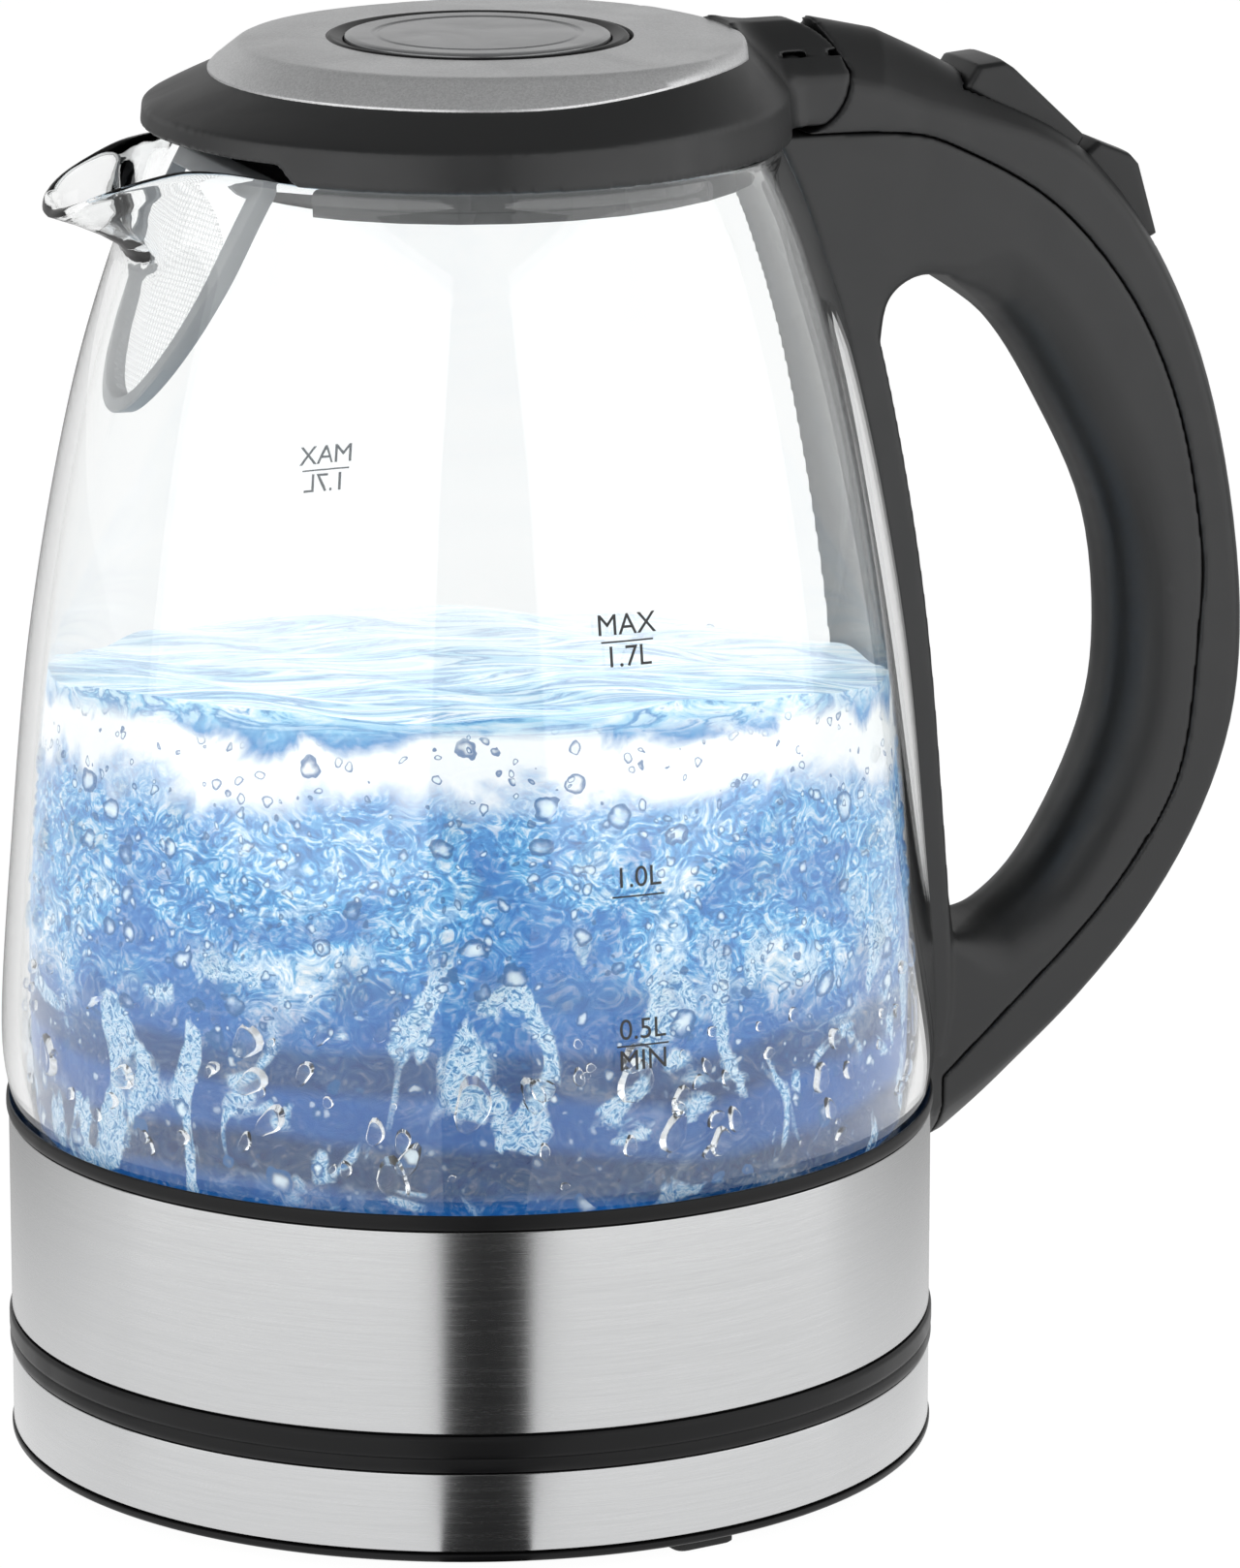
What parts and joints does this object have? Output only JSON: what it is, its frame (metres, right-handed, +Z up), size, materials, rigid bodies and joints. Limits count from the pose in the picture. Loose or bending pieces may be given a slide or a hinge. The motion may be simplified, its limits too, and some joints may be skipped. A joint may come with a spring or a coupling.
{
  "type": "electric kettle",
  "caption": "Cordless glass kettle with a steel-banded body, hinged lid, looped handle and spout filter, standing on a round power base.",
  "frame": {"origin": "on the jug's axis, on the plane that the feet stand on", "axes": "+Z up along the jug's axis, +X towards the handle, -X towards the spout"},
  "size_m": [0.2249, 0.1616, 0.2474],
  "materials": {
    "black_plastic": "satin moulded plastic",
    "body_steel": "brushed around the body",
    "silver_plate": "metallic silver paint",
    "clear_glass": "clear borosilicate",
    "rubber": "matt",
    "silicone": "translucent silicone",
    "aluminium": "plain",
    "brass": "plain",
    "filter_grey": "satin",
    "plate_steel": "satin",
    "inner_plastic": "moulded",
    "board": "lacquered board"
  },
  "bodies": {
    "power_base": {"base_bottom_cover": "black_plastic", "base_foot_1": "rubber", "base_foot_2": "rubber", "base_foot_3": "rubber", "base_screw_1": "plate_steel", "base_screw_2": "plate_steel", "base_screw_3": "plate_steel", "base_steel_band": "body_steel", "base_tray": "black_plastic", "cord_inlet": "rubber", "socket_housing": "inner_plastic", "socket_line_contact": "brass", "socket_neutral_contact": "brass", "socket_earth_contact": "brass", "shutter_spring": "plate_steel"},
    "connector_shutter": {"connector_shutter": "inner_plastic"},
    "lid": {"lid_shell": "black_plastic", "lid_top_plate": "silver_plate", "lid_disc": "silver_plate", "lid_disc_ring": "black_plastic", "lid_seal": "silicone", "lid_liner": "black_plastic", "lid_screw_1": "plate_steel", "lid_screw_2": "plate_steel", "lid_screw_3": "plate_steel"},
    "lid_release_button": {"lid_release_button": "black_plastic"},
    "latch_slide": {"latch_slide": "inner_plastic"},
    "power_switch": {"power_switch": "black_plastic"},
    "kettle": {"bottom_skirt": "black_plastic", "lower_collar": "black_plastic", "handle_grip": "black_plastic", "handle_back_cover": "black_plastic", "control_block": "inner_plastic", "switch_module": "inner_plastic", "body_steel_band": "body_steel", "heating_plate": "plate_steel", "hinge_pin": "plate_steel", "lid_spring": "plate_steel", "button_spring": "plate_steel", "skirt_screw_1": "plate_steel", "skirt_screw_2": "plate_steel", "skirt_screw_3": "plate_steel", "handle_screw_1": "plate_steel", "handle_screw_2": "plate_steel", "glass_jug": "clear_glass", "light_window_1": "clear_glass", "light_window_2": "clear_glass", "wiring_loom": "rubber", "plate_seal": "silicone", "heat_spreader": "aluminium", "heating_element": "aluminium", "connector_pin": "brass", "connector_ring": "brass", "boil_dry_disc_1": "brass", "boil_dry_disc_2": "brass", "steam_disc": "brass", "filter_frame": "filter_grey", "filter_mesh": "filter_grey", "light_board": "board"}
  },
  "joints": [
    {"name": "kettle_swivel", "type": "hinge", "parent": "power_base", "child": "connector_shutter", "pos_m": [0, 0, 0.018], "axis": [0, 0, 1], "continuous": true},
    {"name": "kettle_lift", "type": "slide", "parent": "connector_shutter", "child": "kettle", "axis": [0, 0, 1], "range_m": [0, 0.06]},
    {"name": "lid_hinge", "type": "hinge", "parent": "kettle", "child": "lid", "pos_m": [0.0566, 0, 0.2374], "axis": [0, 1, 0], "range_deg": [0, 65]},
    {"name": "lid_button_press", "type": "slide", "parent": "kettle", "child": "lid_release_button", "axis": [-0.49, 0, -0.8717], "range_m": [0, 0.003], "stiffness_N_per_m": 400, "springref_m": -0.001},
    {"name": "latch_draw", "type": "slide", "parent": "kettle", "child": "latch_slide", "axis": [1, 0, 0], "range_m": [0, 0.003]},
    {"name": "power_switch_rock", "type": "hinge", "parent": "kettle", "child": "power_switch", "pos_m": [0.11953, 0, 0.20808], "axis": [0, -1, 0], "range_deg": [0, 8]}
  ],
  "couplings": [
    {"joint": "latch_draw", "follows": "lid_button_press", "ratio": 1}
  ]
}
